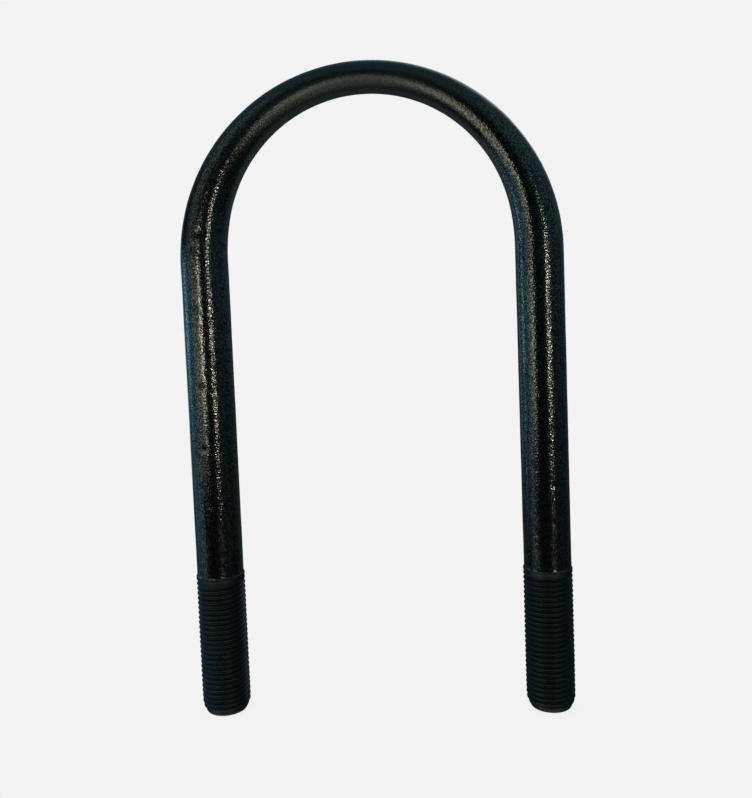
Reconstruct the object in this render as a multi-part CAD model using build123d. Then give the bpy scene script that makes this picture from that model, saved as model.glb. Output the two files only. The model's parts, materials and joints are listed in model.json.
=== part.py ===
from build123d import *
import os
from math import cos, floor, pi, radians, sin, tan

# U-bolt bent from one round bar: two parallel legs, threaded at their ends, joined
# by a half-round bend whose inside is forged flat as a seat for a round tube.
# The origin is on the axis of the seated tube, which runs along Y, in the middle
# of the bolt's thickness. The legs run down -Z, side by side along X.
# Lengths are in millimetres and angles in degrees.

# Bar
rod_diameter = 11.5
inside_width = 70.0
straight_length = 112.0

# Forged bend: its outer edge stays a half circle, and its inside is pressed flat
crown_thickness = 7.0
crown_width = 12.6
seat_depth = 0.35
flattening_power = 1.6
bend_stations = 18

# The seated tube clears each leg by this much
tube_clearance = 0.5

# M12 x 1.25 thread with 60 degree flanks, modelled as ring grooves of the true
# pitch, depth and flats. The first grooves are shallower: the thread's run-out.
thread_diameter = 12.0
thread_pitch = 1.25
thread_length = 35.0
thread_angle = 60.0
root_flat = thread_pitch / 4
crest_flat = thread_pitch / 8
runout_grooves = 2
shoulder_length = 0.5
point_radial = 1.0
point_length = 1.9

rod_radius = rod_diameter / 2
thread_radius = thread_diameter / 2
leg_offset = inside_width / 2 + rod_radius
outer_radius = leg_offset + rod_radius
seat_radius = inside_width / 2 - tube_clearance
seat_height = outer_radius - crown_thickness - seat_radius
thread_start = straight_length - thread_length
flank_slope = tan(radians(thread_angle / 2))
full_depth = (thread_pitch - root_flat - crest_flat) / 2 / flank_slope


def bend_section(angle):
    """Oval section of the bend, this many radians from the left leg over the crown."""
    pressed = sin(angle) ** flattening_power if 0 < angle < pi else 0.0
    thickness = rod_diameter - (rod_diameter - crown_thickness - seat_depth) * pressed
    width = rod_diameter + (crown_width - rod_diameter) * pressed
    middle_radius = outer_radius - thickness / 2
    middle = (-middle_radius * cos(angle), 0, middle_radius * sin(angle))
    along = (sin(angle), 0, cos(angle))
    plane = Plane(origin=middle, x_dir=(0, 1, 0), z_dir=along)
    return plane * Ellipse(width / 2, thickness / 2)


def bend():
    """Half-round bend about the Y axis, flattened, with the tube seat cut inside."""
    angles = [pi * i / bend_stations for i in range(bend_stations + 1)]
    bar = loft([bend_section(angle) for angle in angles])
    tube = Rot(90, 0, 0) * Cylinder(seat_radius, 2 * crown_width)
    return bar - Pos(0, 0, seat_height) * tube


def turned(outline):
    """Solid turned about Z from an outline of (radius, height) corners."""
    corners = [Vector(radius, 0, height) for radius, height in outline]
    return revolve(Face(Wire.make_polygon(corners, close=True)), axis=Axis.Z)


def thread_grooves():
    """Outline corners of every ring groove, from the shoulder down to the point."""
    top = -thread_start - shoulder_length
    count = floor((thread_length - shoulder_length) / thread_pitch)
    corners = []
    for i in range(count):
        depth = full_depth * min(1, (i + 1) / (runout_grooves + 1))
        middle = top - (i + 0.5) * thread_pitch
        half_root = root_flat / 2
        half_mouth = half_root + depth * flank_slope
        corners.append((thread_radius, middle + half_mouth))
        corners.append((thread_radius - depth, middle + half_root))
        corners.append((thread_radius - depth, middle - half_root))
        corners.append((thread_radius, middle - half_mouth))
    return corners


def leg():
    """One threaded leg on the Z axis, from the bend's end down to its point."""
    outline = [(0, 0), (rod_radius, 0), (rod_radius, -thread_start)]
    outline.append((thread_radius, -thread_start - shoulder_length))
    outline += thread_grooves()
    outline += [(thread_radius, -straight_length), (0, -straight_length)]
    margin = point_radial
    waste = turned(
        [
            (thread_radius - point_radial, -straight_length),
            (thread_radius + margin, -straight_length + 2 * point_length),
            (thread_radius + margin, -straight_length - margin),
            (thread_radius - point_radial, -straight_length - margin),
        ]
    )
    return turned(outline) - waste


def u_bolt():
    """The whole bolt as one solid: both legs on the ends of the bend."""
    upright = leg()
    left = Pos(-leg_offset, 0, 0) * upright
    right = Pos(leg_offset, 0, 0) * upright
    return Pos(0, 0, -seat_height) * (bend() + left + right)


os.makedirs("parts", exist_ok=True)
export_step(u_bolt(), "parts/u_bolt.step")
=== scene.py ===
import json
import math

import bpy
import numpy as np
from mathutils import Euler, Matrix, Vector, noise


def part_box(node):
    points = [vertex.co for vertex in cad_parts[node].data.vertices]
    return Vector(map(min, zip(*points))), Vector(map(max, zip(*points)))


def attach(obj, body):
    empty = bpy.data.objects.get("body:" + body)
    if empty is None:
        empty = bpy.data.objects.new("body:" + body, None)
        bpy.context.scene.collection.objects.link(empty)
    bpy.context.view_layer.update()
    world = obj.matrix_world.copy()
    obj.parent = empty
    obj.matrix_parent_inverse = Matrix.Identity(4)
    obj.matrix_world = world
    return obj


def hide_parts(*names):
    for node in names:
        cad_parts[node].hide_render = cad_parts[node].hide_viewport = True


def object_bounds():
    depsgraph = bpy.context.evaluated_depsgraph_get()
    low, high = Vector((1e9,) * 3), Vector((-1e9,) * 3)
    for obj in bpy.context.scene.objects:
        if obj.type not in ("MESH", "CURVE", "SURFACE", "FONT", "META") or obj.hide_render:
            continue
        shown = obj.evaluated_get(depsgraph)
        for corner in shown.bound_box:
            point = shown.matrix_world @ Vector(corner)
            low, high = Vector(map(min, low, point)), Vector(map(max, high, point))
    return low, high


# A forged black-oxide U-bolt: one round bar bent to a U, threaded at both leg ends,
# its bend pressed flat inside as a seat for a round tube. The mesh built here stands
# for the CAD node and adds what the CAD leaves out: a true helical thread, softened
# edges, the slight unevenness of forged bar, and a few nicks.
# Shapes are worked out in millimetres and written to the mesh in metres. X runs from
# the left leg to the right one, Y along the tube to the back, and Z up to the crown.

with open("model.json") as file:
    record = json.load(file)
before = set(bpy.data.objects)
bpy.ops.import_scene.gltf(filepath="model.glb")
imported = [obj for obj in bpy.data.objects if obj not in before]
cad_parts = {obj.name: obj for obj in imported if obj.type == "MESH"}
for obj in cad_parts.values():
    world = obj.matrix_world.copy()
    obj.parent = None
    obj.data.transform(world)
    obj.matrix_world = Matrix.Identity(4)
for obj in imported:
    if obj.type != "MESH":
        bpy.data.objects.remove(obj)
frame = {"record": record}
cad_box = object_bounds()

MM = 0.001

# ---------------------------------------------------------------- sizes from the frame
mounts = {mount["name"]: mount for mount in frame["record"]["mounts"]}
cad_low, cad_high = (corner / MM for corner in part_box("u_bolt"))

rod_radius = mounts["plain_legs"]["dims"]["stud_r_mm"]
thread_radius = mounts["leg_threads"]["dims"]["stud_r_mm"]
leg_offset = mounts["leg_threads"]["dims"]["pcd_mm"] / 2
seat_radius = mounts["tube_seat"]["dims"]["r_mm"]
thread_middle = mounts["leg_threads"]["pos_m"][2] / MM

outer_radius = leg_offset + rod_radius
bend_height = cad_high.z - outer_radius
leg_length = bend_height - cad_low.z
crown_width = cad_high.y - cad_low.y
crown_thickness = cad_high.z - seat_radius
thread_top = 2 * thread_middle - cad_low.z

# ---------------------------------------------------------------- bend and thread
# How far the tube's seat cuts into the pressed bar at the crown
seat_depth = 0.35
# The pressing grows with this power of the sine of the angle along the bend
flattening_power = 1.6
seat_edge_rounding = 0.25

thread_pitch = 1.25
profile_angle = 60
flank_slope = math.tan(math.radians(profile_angle / 2))
root_flat = thread_pitch / 4
crest_flat = thread_pitch / 8
thread_depth = (thread_pitch - root_flat - crest_flat) / 2 / flank_slope
thread_rounding = 0.05
runout_pitches = 1.6
runout_length = runout_pitches * thread_pitch
shoulder_length = 0.5

# The chamfered point at each leg's end: its depth all round and its length
point_depth = 1.0
point_length = 1.9
point_slope = point_depth / point_length
point_rounding = 0.25

# ---------------------------------------------------------------- density of the mesh
columns = 80
rows_per_pitch = 12
bar_row = 0.6
# Rings that close a leg's end, as shares of its radius there
tip_rings = (0.97, 0.9, 0.6, 0.3)

# ---------------------------------------------------------------- wear
# Forged unevenness: (height in millimetres, waves per millimetre)
unevenness = ((0.035, 0.11), (0.018, 0.34), (0.007, 0.75))

# Nicks and pits in the bar, most of them on the left leg:
# (side, degrees round from the front towards the outside, distance below the bend,
# half width round the bar, half height along it, depth)
dents = (
    (-1, 9, 29.8, 1.5, 0.55, 0.26),
    (-1, -20, 31.3, 0.8, 0.5, 0.15),
    (-1, 22, 10.7, 1.4, 0.6, 0.20),
    (-1, 10, 45.1, 0.6, 0.6, 0.22),
    (-1, -3, 58.8, 0.9, 0.6, 0.17),
    (-1, -8, -7.0, 1.2, 1.0, 0.20),
    (-1, 12, -4.0, 0.9, 0.8, 0.15),
    (1, -25, 33.9, 0.7, 0.6, 0.10),
    (1, 14, 56.0, 0.7, 0.6, 0.10),
)
# The depth at which the mask of the dents would reach 1
full_dent = 0.30
# The length over which the thread's finish replaces the bar's
finish_change = 0.4


def smooth_step(value, low, high):
    """0 below low, 1 above high, and a smooth ramp between them."""
    share = np.clip((value - low) / (high - low), 0, 1)
    return share * share * (3 - 2 * share)


def smooth_max(a, b, rounding):
    """The larger of a and b, with the corner between them rounded."""
    return (a + b + np.sqrt((a - b) ** 2 + rounding**2)) / 2


def smooth_min(a, b, rounding):
    """The smaller of a and b, with the corner between them rounded."""
    return -smooth_max(-a, -b, rounding)


def groove_depth(turns):
    """Depth of the thread's groove below its crest; turns counts pitches."""
    from_root = np.abs((turns + 0.5) % 1 - 0.5) * thread_pitch
    flank = thread_depth - (from_root - root_flat / 2) / flank_slope
    floor = smooth_min(flank, thread_depth, thread_rounding)
    return smooth_max(floor, 0, thread_rounding)


def leg_radius(down, turn):
    """Radius of a leg this far below the bend; turn is the helix's share of a turn."""
    start = bend_height - thread_top
    shoulder = smooth_step(down, start - shoulder_length, start)
    bar = rod_radius + (thread_radius - rod_radius) * shoulder
    depth_share = smooth_step(down, start, start + runout_length)
    grooves = groove_depth((down - start) / thread_pitch + turn)
    point = thread_radius - point_depth + (leg_length - down) * point_slope
    return smooth_min(bar - depth_share * grooves, point, point_rounding)


def bend_section(angle):
    """Half thickness and half width of the bend's oval section."""
    pressed = max(math.sin(angle), 0) ** flattening_power
    thinning = 2 * rod_radius - crown_thickness - seat_depth
    half_thickness = rod_radius - thinning / 2 * pressed
    half_width = rod_radius + (crown_width / 2 - rod_radius) * pressed
    return half_thickness, half_width


def seated(points):
    """Points of the bend kept outside the tube that sits in it."""
    moved = points.copy()
    across = points[:, [0, 2]]
    distance = np.linalg.norm(across, axis=1)
    kept = smooth_max(distance, seat_radius, seat_edge_rounding)
    below_bend = points[:, 2] < bend_height
    scale = np.where(below_bend, 1, kept / distance)
    moved[:, [0, 2]] = across * scale[:, None]
    return moved


def uneven(points, outward):
    """Points moved in and out a little, as forged bar is never quite round."""
    moved = np.zeros(len(points))
    for height, scale in unevenness:
        moved += height * np.array([noise.noise(Vector(point) * scale) for point in points])
    return points + outward * moved[:, None]


def dent_depths(points):
    """How far each point is pressed in by the nicks and pits of the bar."""
    pressed_in = np.zeros(len(points))
    for side, degrees, down, half_width, half_height, depth in dents:
        turn = math.radians(degrees)
        place = np.array((side * math.sin(turn), -math.cos(turn), 0)) * rod_radius
        place += (side * leg_offset, 0, bend_height - down)
        sideways = np.array((side * math.cos(turn), math.sin(turn), 0))
        away = points - place
        round_bar = (away @ sideways) / half_width
        along_bar = away[:, 2] / half_height
        same_side = np.linalg.norm(away, axis=1) < rod_radius
        pressed_in += same_side * depth * np.exp(-(round_bar**2) - along_bar**2)
    return pressed_in


# ---------------------------------------------------------------- the mesh
turn_angles = np.arange(columns) / columns * 2 * math.pi


def ring(middle, outward, radial, sideways):
    """One ring of points: radial along outward and sideways along Y."""
    across = np.outer(radial * np.cos(turn_angles), outward)
    along_y = np.outer(sideways * np.sin(turn_angles), (0, 1, 0))
    return np.array(middle) + across + along_y


def leg_ring(side, down, shrink=1.0):
    """A ring of the left (-1) or right (1) leg, with its right-hand thread."""
    helix = side * turn_angles / (2 * math.pi)
    radius = shrink * leg_radius(down, helix)
    middle = (side * leg_offset, 0, bend_height - down)
    return ring(middle, (side, 0, 0), radius, radius)


def bend_ring(angle):
    """A ring of the bend, this many radians from the left leg over the crown."""
    half_thickness, half_width = bend_section(angle)
    outward = np.array((-math.cos(angle), 0, math.sin(angle)))
    middle = outward * (outer_radius - half_thickness)
    middle[2] += bend_height
    return seated(ring(middle, outward, half_thickness, half_width))


def leg_rows():
    """Distances down a leg of its rows, from the bend to the point."""
    start = bend_height - thread_top - shoulder_length
    plain = np.linspace(0, start, round(start / bar_row), endpoint=False)
    threaded = leg_length - start
    rows = round(threaded / thread_pitch * rows_per_pitch)
    return np.concatenate([plain[1:], np.linspace(start, leg_length, rows)])


def u_bolt_rings():
    """Rings of points from the left leg's tip, over the bend, to the right leg's."""
    down = leg_rows()
    bend_rows = round(math.pi * leg_offset / bar_row)
    left = [leg_ring(-1, row) for row in down[::-1]]
    bend = [bend_ring(math.pi * i / bend_rows) for i in range(bend_rows + 1)]
    right = [leg_ring(1, row) for row in down]
    left_tip = [leg_ring(-1, leg_length, share) for share in tip_rings[::-1]]
    right_tip = [leg_ring(1, leg_length, share) for share in tip_rings]
    return left_tip + left + bend + right + right_tip


def u_bolt_faces(ring_count):
    """Quads between neighbouring rings, and a fan of triangles over each tip."""
    faces = []
    for row in range(ring_count - 1):
        for column in range(columns):
            a = row * columns + column
            b = row * columns + (column + 1) % columns
            faces.append((a, b, b + columns, a + columns))
    last_ring = (ring_count - 1) * columns
    left_tip = ring_count * columns
    right_tip = left_tip + 1
    for column in range(columns):
        following = (column + 1) % columns
        faces.append((following, column, left_tip))
        faces.append((last_ring + column, last_ring + following, right_tip))
    return faces


def add_masks(mesh, points, pressed_in):
    """Where the bar is threaded, pressed flat or dented, for the material to read; the dent
    mask drives the painted shade in the dents.
    """
    below_shoulder = thread_top + shoulder_length - points[:, 2]
    masks = {
        "threaded": smooth_step(below_shoulder, 0, finish_change),
        "pressed": np.clip((points[:, 2] - bend_height) / leg_offset, 0, 1),
        "dented": pressed_in / full_dent,
    }
    for name, values in masks.items():
        mask = mesh.attributes.new(name, "FLOAT", "POINT")
        mask.data.foreach_set("value", values.astype(np.float32))


def u_bolt_mesh():
    """The whole bolt as one closed mesh."""
    rings = u_bolt_rings()
    centres = [points.mean(axis=0) for points in rings]
    points = np.concatenate(rings)
    outward = points - np.repeat(centres, columns, axis=0)
    outward /= np.linalg.norm(outward, axis=1)[:, None]
    points = uneven(points, outward)
    pressed_in = dent_depths(points)
    points -= outward * pressed_in[:, None]
    points = np.concatenate([points, [centres[0], centres[-1]]])
    pressed_in = np.append(pressed_in, (0, 0))
    mesh = bpy.data.meshes.new("u_bolt_forged")
    mesh.from_pydata((points * MM).tolist(), [], u_bolt_faces(len(rings)))
    mesh.shade_smooth()
    add_masks(mesh, points, pressed_in)
    mesh.update()
    return mesh


# ---------------------------------------------------------------- materials
# The steel's colours, as linear red, green, blue and alpha
dark_teal = (0.04, 0.056, 0.06, 1)
dark_olive = (0.065, 0.064, 0.05, 1)
light_scale = (0.34, 0.33, 0.275, 1)
bend_colour = (0.125, 0.13, 0.12, 1)
thread_colour = (0.06, 0.078, 0.077, 1)
# Painted shade: the dark colour laid into the dents in place of the shade in them
dent_shade_colour = (0.012, 0.014, 0.014, 1)

bar_roughness = 0.16
crown_roughness = 0.31
thread_roughness = 0.46

# Sizes of the patterns, in cells per millimetre
patches_per_mm = 0.12
speckles_per_mm = 2.6
pebbles_per_mm = 2.4
grit_per_mm = 4.5

# The values of a noise between which one colour gives way to the next
patch_range = (0.35, 0.65)
speckle_range = (0.44, 0.60)
# The heights over the bend, as shares of its radius, that change the finish
calm_range = (0.65, 1.0)
satin_range = (0.6, 1.0)
calm_share = 0.8
# The values of the dent mask between which painted shade darkens a dent, and how far
dent_shade_range = (0.2, 0.8)
dent_shade_share = 0.8

# The relief of the scale: heights in millimetres
pebble_height = 0.07
pebble_strength = 0.62
pebble_smoothness = 0.6
grit_height = 0.05
grit_strength = 0.2

# Sockets of Blender's mix node, by their place in its lists
MIX_FACTOR = 0
MIX_NUMBER_A = 2
MIX_NUMBER_B = 3
MIX_NUMBER_OUT = 0
MIX_COLOUR_A = 6
MIX_COLOUR_B = 7
MIX_COLOUR_OUT = 2

# Brightness of the floor, and of the surroundings as the camera sees them
backdrop_level = 0.8963
# The floor keeps this share of it where something stands within this reach, in
# millimetres; the range is the share of open sky over which the shade fades out
contact_shade = 0.97
contact_reach = 20
contact_range = (0.4, 1)


def add_node(tree, kind, inputs=None, **settings):
    """A node with its settings and input values."""
    node = tree.nodes.new(kind)
    for name, value in settings.items():
        setattr(node, name, value)
    for name, value in (inputs or {}).items():
        node.inputs[name].default_value = value
    return node


def mix_colour(tree, factor, a, b):
    """Colour a where factor is 0 and b where it is 1; each a socket or a colour."""
    node = add_node(tree, "ShaderNodeMix", data_type="RGBA")
    for place, value in ((MIX_FACTOR, factor), (MIX_COLOUR_A, a), (MIX_COLOUR_B, b)):
        if isinstance(value, bpy.types.NodeSocket):
            tree.links.new(value, node.inputs[place])
        else:
            node.inputs[place].default_value = value
    return node.outputs[MIX_COLOUR_OUT]


def remap(tree, value, source, low, high, interpolation="LINEAR"):
    """low to high, as value runs through the range source, and held within them."""
    limits = {"From Min": source[0], "From Max": source[1], "To Min": low, "To Max": high}
    node = add_node(tree, "ShaderNodeMapRange", limits, interpolation_type=interpolation)
    tree.links.new(value, node.inputs["Value"])
    return node.outputs["Result"]


def noise_field(tree, place, per_mm, detail):
    """Noise with this many cells per millimetre, and finer noise in detail more steps."""
    node = add_node(tree, "ShaderNodeTexNoise", {"Scale": per_mm, "Detail": detail})
    tree.links.new(place, node.inputs["Vector"])
    return node.outputs["Fac"]


def mask_value(tree, name):
    """One of the masks of the mesh, by its name."""
    return add_node(tree, "ShaderNodeAttribute", attribute_name=name).outputs["Fac"]


def millimetres(tree):
    """Places on the object in its own millimetres."""
    metres = add_node(tree, "ShaderNodeTexCoord").outputs["Object"]
    scaled = add_node(tree, "ShaderNodeMapping", {"Scale": (1 / MM, 1 / MM, 1 / MM)})
    tree.links.new(metres, scaled.inputs["Vector"])
    return scaled.outputs["Vector"]


def steel_colour(tree, place):
    """Speckled scale on the bar, calmer at the crown, even on the thread, with painted
    shade darkening the dents.
    """
    patch_noise = noise_field(tree, place, patches_per_mm, 3)
    patches = remap(tree, patch_noise, patch_range, 0, 1)
    scale_colour = mix_colour(tree, patches, dark_teal, dark_olive)
    speckle_noise = noise_field(tree, place, speckles_per_mm, 2)
    speckles = remap(tree, speckle_noise, speckle_range, 0, 1)
    speckled = mix_colour(tree, speckles, scale_colour, light_scale)
    calm = remap(tree, mask_value(tree, "pressed"), calm_range, 0, calm_share)
    bar_colour = mix_colour(tree, calm, speckled, bend_colour)
    sound_colour = mix_colour(tree, mask_value(tree, "threaded"), bar_colour, thread_colour)
    # Painted shade: the deeper the dent, the darker its colour
    painted_dent_shade = remap(tree, mask_value(tree, "dented"), dent_shade_range, 0, dent_shade_share)
    return mix_colour(tree, painted_dent_shade, sound_colour, dent_shade_colour)


def steel_roughness(tree):
    """Glossy on the bar, more satin at the crown and dull on the thread."""
    pressed = mask_value(tree, "pressed")
    plain = remap(tree, pressed, satin_range, bar_roughness, crown_roughness)
    dull = {MIX_NUMBER_B: thread_roughness}
    blend = add_node(tree, "ShaderNodeMix", dull, data_type="FLOAT")
    tree.links.new(mask_value(tree, "threaded"), blend.inputs[MIX_FACTOR])
    tree.links.new(plain, blend.inputs[MIX_NUMBER_A])
    return blend.outputs[MIX_NUMBER_OUT]


def steel_grain(tree, place):
    """Normal of the pebbled mill scale with fine grit on it."""
    cells = {"Scale": pebbles_per_mm, "Smoothness": pebble_smoothness}
    pebbles = add_node(tree, "ShaderNodeTexVoronoi", cells, feature="SMOOTH_F1")
    tree.links.new(place, pebbles.inputs["Vector"])
    coarse_relief = {"Strength": pebble_strength, "Distance": pebble_height * MM}
    coarse = add_node(tree, "ShaderNodeBump", coarse_relief)
    tree.links.new(pebbles.outputs["Distance"], coarse.inputs["Height"])
    fine_relief = {"Strength": grit_strength, "Distance": grit_height * MM}
    fine = add_node(tree, "ShaderNodeBump", fine_relief)
    tree.links.new(noise_field(tree, place, grit_per_mm, 2), fine.inputs["Height"])
    tree.links.new(coarse.outputs["Normal"], fine.inputs["Normal"])
    return fine.outputs["Normal"]


def black_steel():
    """Forged bar under black oxide: pebbled mill scale, duller on the thread."""
    material = bpy.data.materials.new("black_oxide_steel")
    material.use_nodes = True
    tree = material.node_tree
    tree.nodes.clear()
    output = add_node(tree, "ShaderNodeOutputMaterial")
    shader = add_node(tree, "ShaderNodeBsdfPrincipled", {"Metallic": 1.0})
    tree.links.new(shader.outputs[0], output.inputs["Surface"])
    place = millimetres(tree)
    tree.links.new(steel_colour(tree, place), shader.inputs["Base Color"])
    tree.links.new(steel_roughness(tree), shader.inputs["Roughness"])
    tree.links.new(steel_grain(tree, place), shader.inputs["Normal"])
    return material


def pale_floor():
    """Evenly bright floor, a touch darker right where something stands on it."""
    material = bpy.data.materials.new("pale_floor")
    material.use_nodes = True
    tree = material.node_tree
    tree.nodes.clear()
    output = add_node(tree, "ShaderNodeOutputMaterial")
    glow = add_node(tree, "ShaderNodeEmission")
    near = add_node(tree, "ShaderNodeAmbientOcclusion", {"Distance": contact_reach * MM})
    shaded_level = backdrop_level * contact_shade
    shade = remap(tree, near.outputs["AO"], contact_range, shaded_level, backdrop_level)
    tree.links.new(shade, glow.inputs["Strength"])
    tree.links.new(glow.outputs[0], output.inputs["Surface"])
    return material


# ---------------------------------------------------------------- studio
white = (1, 1, 1)
warm_white = (1, 0.97, 0.86)

# The room that the steel reflects: a dim even colour, and lobes that each brighten
# towards one direction.
# (direction, where it starts, where it is full, brightness, colour)
room_colour = (0.35, 0.75, 1)
room_level = 0.014
room_lobes = (
    ((0.25, 0, 0.97), -0.15, 0.85, 0.13, (0.33, 0.75, 1.0)),
    ((0, 1, 0), 0.2, 0.9, 0.045, (0.75, 0.95, 1.0)),
    ((1, -0.1, 0.25), 0.4, 1.0, 0.016, (0.4, 0.8, 1.0)),
    ((-0.8, -0.4, 0.45), 0.82, 0.98, 0.13, (0.7, 0.9, 1.0)),
    ((0.05, -0.2, -0.98), 0.62, 0.98, 0.22, (0.92, 1.0, 0.95)),
    ((-0.64, -0.3, -0.71), 0.88, 0.99, 0.7, (1.0, 0.98, 0.84)),
    ((0.33, -0.62, -0.72), 0.91, 0.99, 0.40, (1.0, 0.98, 0.86)),
)

# Soft rectangular lights, in millimetres and degrees:
# (name, place, the point it faces, width, height, brightness, colour, spread)
studio_lights = (
    ("left_strip", (-80, -118, -27), (-60, 0, -30), 12, 66, 1.45, warm_white, 110),
    ("left_panel", (-169, -153, -39), (-40, 0, -30), 118, 96, 0.33, warm_white, 180),
    ("right_strip", (950, -1750, -70), (0, 0, -30), 110, 220, 16.0, warm_white, 180),
    ("cool_side", (-325, -10, -72), (0, 0, -40), 360, 200, 0.26, (0.27, 0.66, 1), 180),
    ("cool_spot", (-320, 70, -25), (-40, 0, -20), 110, 80, 0.9, (0.25, 0.66, 1), 180),
    ("back_left", (-250, 270, -30), (0, 0, -30), 130, 200, 0.25, (0.4, 0.8, 1), 180),
    ("back_fill", (120, 420, 260), (0, 0, 0), 300, 300, 0.6, white, 180),
)

# The floor, in millimetres: far wider than the view, and just under the legs
floor_radius = 2500
floor_sides = 96
floor_gap = 0.2

# The camera: places in millimetres, angles in degrees
camera_place = (12.67, -199.98, -17.09)
camera_angles = (86.359, 2.241, 3.335)
camera_lens = 37.0
camera_sensor = 36.0
camera_shift = -0.05
camera_near = 10
camera_far = 20000


def direction_lobe(tree, direction, axis, low, high, level):
    """Brightness rising from 0 at low to level at high along an axis."""
    along = add_node(tree, "ShaderNodeVectorMath", {1: axis}, operation="DOT_PRODUCT")
    tree.links.new(direction, along.inputs[0])
    return remap(tree, along.outputs["Value"], (low, high), 0, level, "SMOOTHSTEP")


def reflected_room(tree):
    """The dim room with its soft lobes, as the steel reflects it."""
    direction = add_node(tree, "ShaderNodeTexCoord").outputs["Generated"]
    even = {"Color": (*room_colour, 1), "Strength": room_level}
    total = add_node(tree, "ShaderNodeBackground", even).outputs[0]
    for axis, low, high, level, colour in room_lobes:
        lobe = add_node(tree, "ShaderNodeBackground", {"Color": (*colour, 1)})
        strength = direction_lobe(tree, direction, axis, low, high, level)
        tree.links.new(strength, lobe.inputs["Strength"])
        both = add_node(tree, "ShaderNodeAddShader")
        tree.links.new(total, both.inputs[0])
        tree.links.new(lobe.outputs[0], both.inputs[1])
        total = both.outputs[0]
    return total


def build_world():
    """Even pale surroundings for the camera, and the dim room in reflections."""
    world = bpy.data.worlds.new("studio")
    bpy.context.scene.world = world
    world.use_nodes = True
    tree = world.node_tree
    tree.nodes.clear()
    output = add_node(tree, "ShaderNodeOutputWorld")
    pale = {"Color": (*white, 1), "Strength": backdrop_level}
    seen = add_node(tree, "ShaderNodeBackground", pale)
    rays = add_node(tree, "ShaderNodeLightPath")
    mix = add_node(tree, "ShaderNodeMixShader")
    tree.links.new(rays.outputs["Is Camera Ray"], mix.inputs[0])
    tree.links.new(reflected_room(tree), mix.inputs[1])
    tree.links.new(seen.outputs[0], mix.inputs[2])
    tree.links.new(mix.outputs[0], output.inputs["Surface"])


def soft_light(name, place, aim, width, height, level, colour, spread):
    """A rectangular light of an even brightness level, facing the point aim."""
    data = bpy.data.lights.new(name, "AREA")
    data.shape = "RECTANGLE"
    data.size = width * MM
    data.size_y = height * MM
    data.color = colour
    data.energy = level * math.pi * data.size * data.size_y
    data.spread = math.radians(spread)
    light = bpy.data.objects.new(name, data)
    light.location = Vector(place) * MM
    towards = Vector(aim) * MM - light.location
    light.rotation_euler = towards.to_track_quat("-Z", "Y").to_euler()
    light.visible_camera = False
    bpy.context.scene.collection.objects.link(light)


def build_lights():
    """Two strips and a panel in front, two cool lights at the left and two behind."""
    for row in studio_lights:
        soft_light(*row)


def build_floor():
    """A pale disc under the legs."""
    height = cad_box[0].z - floor_gap * MM
    bpy.ops.mesh.primitive_circle_add(
        vertices=floor_sides,
        radius=floor_radius * MM,
        fill_type="NGON",
        location=(0, 0, height),
    )
    floor = bpy.context.object
    floor.name = "floor"
    floor.data.materials.append(pale_floor())
    floor.visible_glossy = False
    floor.visible_shadow = False


def build_camera():
    """The view from in front, about level with the legs' tops and tipped a little down."""
    data = bpy.data.cameras.new("camera")
    data.lens = camera_lens
    data.sensor_width = camera_sensor
    data.shift_y = camera_shift
    data.clip_start = camera_near * MM
    data.clip_end = camera_far * MM
    camera = bpy.data.objects.new("camera", data)
    camera.location = Vector(camera_place) * MM
    camera.rotation_euler = Euler([math.radians(angle) for angle in camera_angles])
    bpy.context.scene.collection.objects.link(camera)
    bpy.context.scene.camera = camera


# ---------------------------------------------------------------- the scene
bolt = bpy.data.objects.new("u_bolt_forged", u_bolt_mesh())
bpy.context.scene.collection.objects.link(bolt)
bolt.data.materials.append(black_steel())
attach(bolt, "root")
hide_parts("u_bolt")

build_world()
build_lights()
build_floor()
build_camera()
bpy.context.scene.view_settings.view_transform = "Standard"
